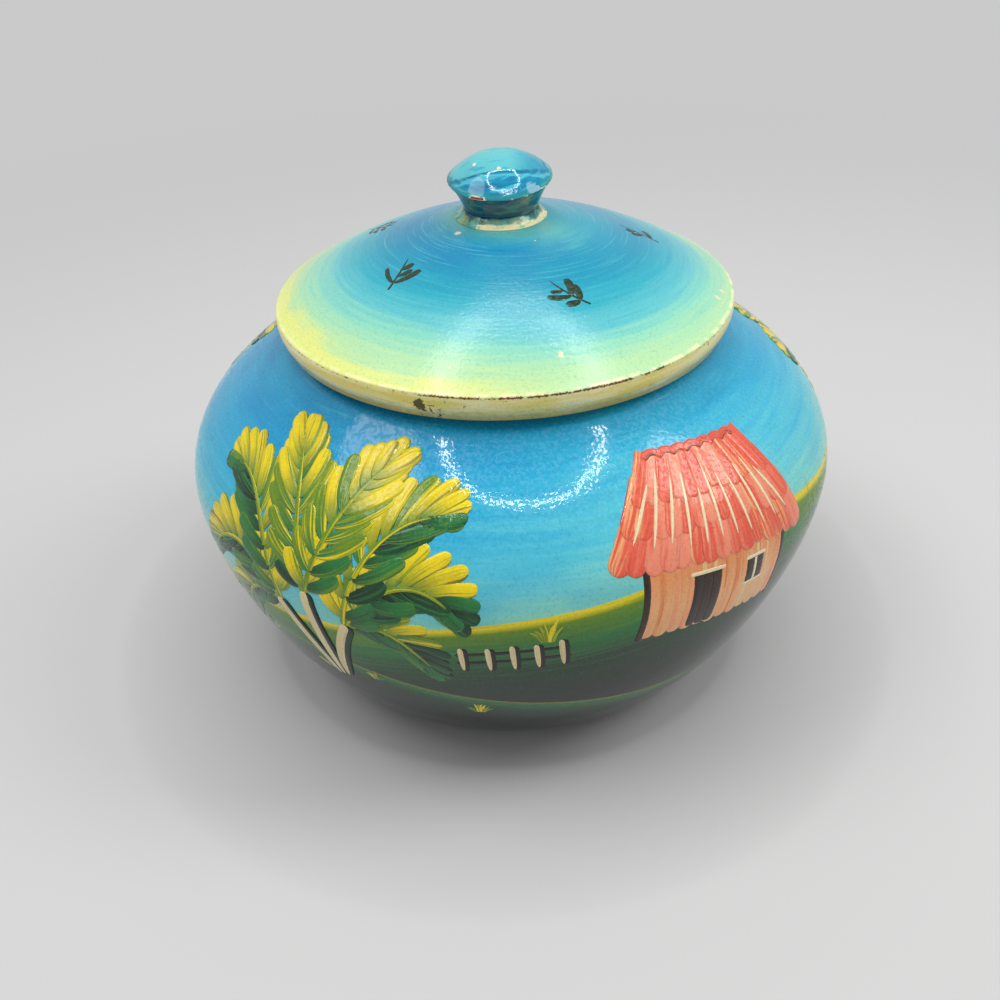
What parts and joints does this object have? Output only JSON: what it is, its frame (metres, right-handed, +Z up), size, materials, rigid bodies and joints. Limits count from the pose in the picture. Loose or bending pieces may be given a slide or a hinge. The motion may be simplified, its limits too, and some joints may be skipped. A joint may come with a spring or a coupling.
{
  "type": "trinket box",
  "caption": "Squat round hand-painted clay trinket box with a hollow belly and a domed lid that lifts off by its knob.",
  "frame": {"origin": "middle of the ground that the pot stands on, on the axis that every piece is turned about", "axes": "+Z up along the axis; the side that the picture shows faces -Y"},
  "size_m": [0.11, 0.11, 0.0888],
  "materials": {
    "painted_pot": "hand-painted and lacquered, glossy",
    "painted_lid": "hand-painted and lacquered, glossy",
    "painted_knob": "hand-painted and lacquered, high gloss",
    "slip": "thinly painted slip, glossy"
  },
  "bodies": {
    "pot": {"pot_body": "painted_pot"},
    "lid": {"lid": "painted_lid", "lid_knob": "painted_knob", "knob_collar": "slip"}
  },
  "joints": [
    {"name": "lid_lift", "type": "slide", "parent": "pot", "child": "lid", "axis": [0, 0, 1], "range_m": [0, 0.09]}
  ]
}
